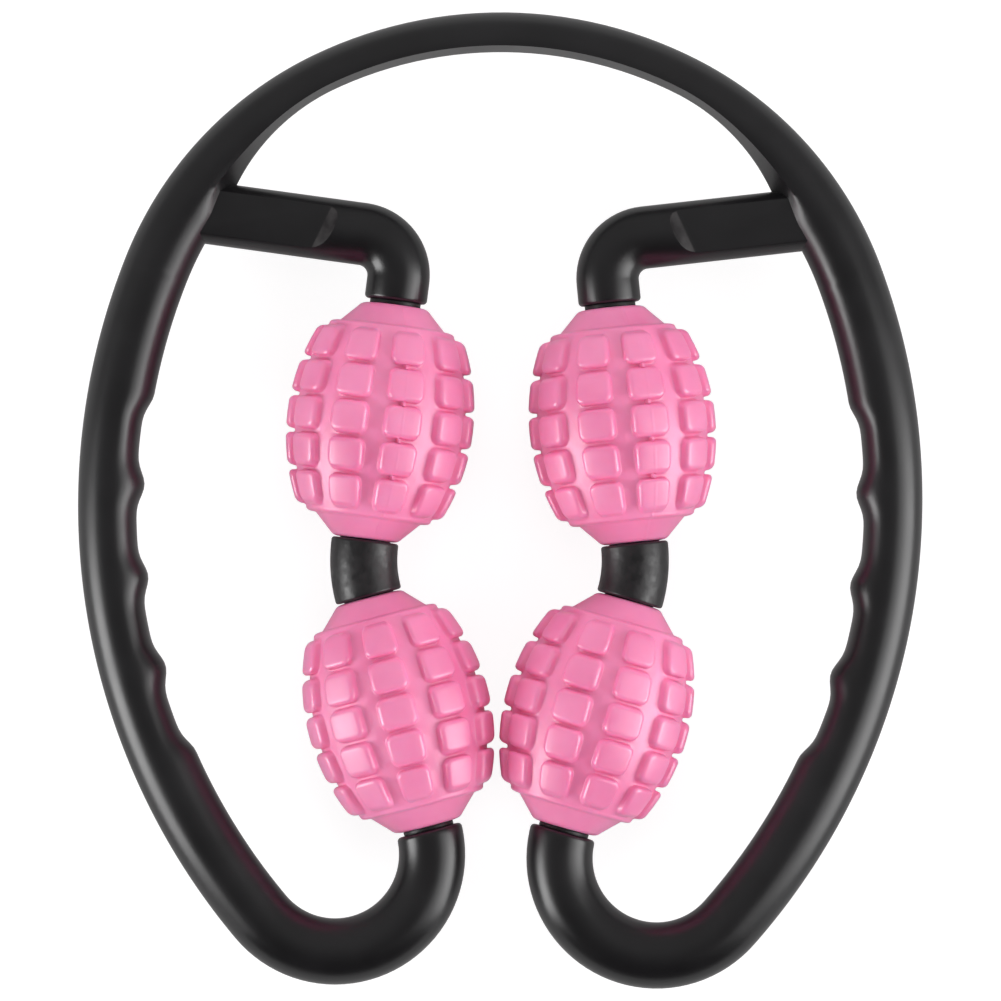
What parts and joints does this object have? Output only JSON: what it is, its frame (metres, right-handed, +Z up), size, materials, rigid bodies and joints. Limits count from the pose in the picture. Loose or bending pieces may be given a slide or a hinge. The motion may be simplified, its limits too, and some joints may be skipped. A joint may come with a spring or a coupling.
{
  "type": "four-wheel massage roller",
  "caption": "Hand-held hoop with finger-groove grips and inner arms that carry studded barrel rollers spinning on bent axles.",
  "frame": {"origin": "under the middle of the outline, on the surface that the studs stand on", "axes": "+Z up, square to the plane of the hoop; +Y from the curled ends of the hoop to its crown; +X to the right, seen from above with the crown away from the viewer"},
  "size_m": [0.2158, 0.249, 0.0477],
  "materials": {
    "frame_plastic": "satin black moulded plastic",
    "roller_rubber": "soft satin pink rubber",
    "core_plastic": "matte dark grey moulded plastic",
    "bush_plastic": "matte black bearing plastic",
    "washer_plastic": "matte black bearing plastic",
    "axle_steel": "blackened drawn steel"
  },
  "bodies": {
    "frame": {"handle_frame": "frame_plastic", "axle_left": "axle_steel", "axle_right": "axle_steel", "axle_elbow_left": "frame_plastic", "axle_elbow_right": "frame_plastic", "thrust_washer_upper_left_top": "washer_plastic", "thrust_washer_upper_left_bottom": "washer_plastic", "thrust_washer_upper_right_top": "washer_plastic", "thrust_washer_upper_right_bottom": "washer_plastic", "thrust_washer_lower_left_top": "washer_plastic", "thrust_washer_lower_left_bottom": "washer_plastic", "thrust_washer_lower_right_top": "washer_plastic", "thrust_washer_lower_right_bottom": "washer_plastic"},
    "roller_upper_left": {"roller_skin_upper_left": "roller_rubber", "roller_core_upper_left": "core_plastic", "bush_upper_left_top": "bush_plastic", "bush_upper_left_bottom": "bush_plastic"},
    "roller_upper_right": {"roller_skin_upper_right": "roller_rubber", "roller_core_upper_right": "core_plastic", "bush_upper_right_top": "bush_plastic", "bush_upper_right_bottom": "bush_plastic"},
    "roller_lower_left": {"roller_skin_lower_left": "roller_rubber", "roller_core_lower_left": "core_plastic", "bush_lower_left_top": "bush_plastic", "bush_lower_left_bottom": "bush_plastic"},
    "roller_lower_right": {"roller_skin_lower_right": "roller_rubber", "roller_core_lower_right": "core_plastic", "bush_lower_right_top": "bush_plastic", "bush_lower_right_bottom": "bush_plastic"}
  },
  "joints": [
    {"name": "spin_upper_left", "type": "hinge", "parent": "frame", "child": "roller_upper_left", "pos_m": [-0.03093, 0.0192, 0.02383], "axis": [0.1132, 0.9936, 0], "continuous": true},
    {"name": "spin_upper_right", "type": "hinge", "parent": "frame", "child": "roller_upper_right", "pos_m": [0.03093, 0.0192, 0.02383], "axis": [-0.1132, 0.9936, 0], "continuous": true},
    {"name": "spin_lower_left", "type": "hinge", "parent": "frame", "child": "roller_lower_left", "pos_m": [-0.02531, -0.05467, 0.02383], "axis": [-0.2622, 0.965, 0], "continuous": true},
    {"name": "spin_lower_right", "type": "hinge", "parent": "frame", "child": "roller_lower_right", "pos_m": [0.02531, -0.05467, 0.02383], "axis": [0.2622, 0.965, 0], "continuous": true}
  ]
}
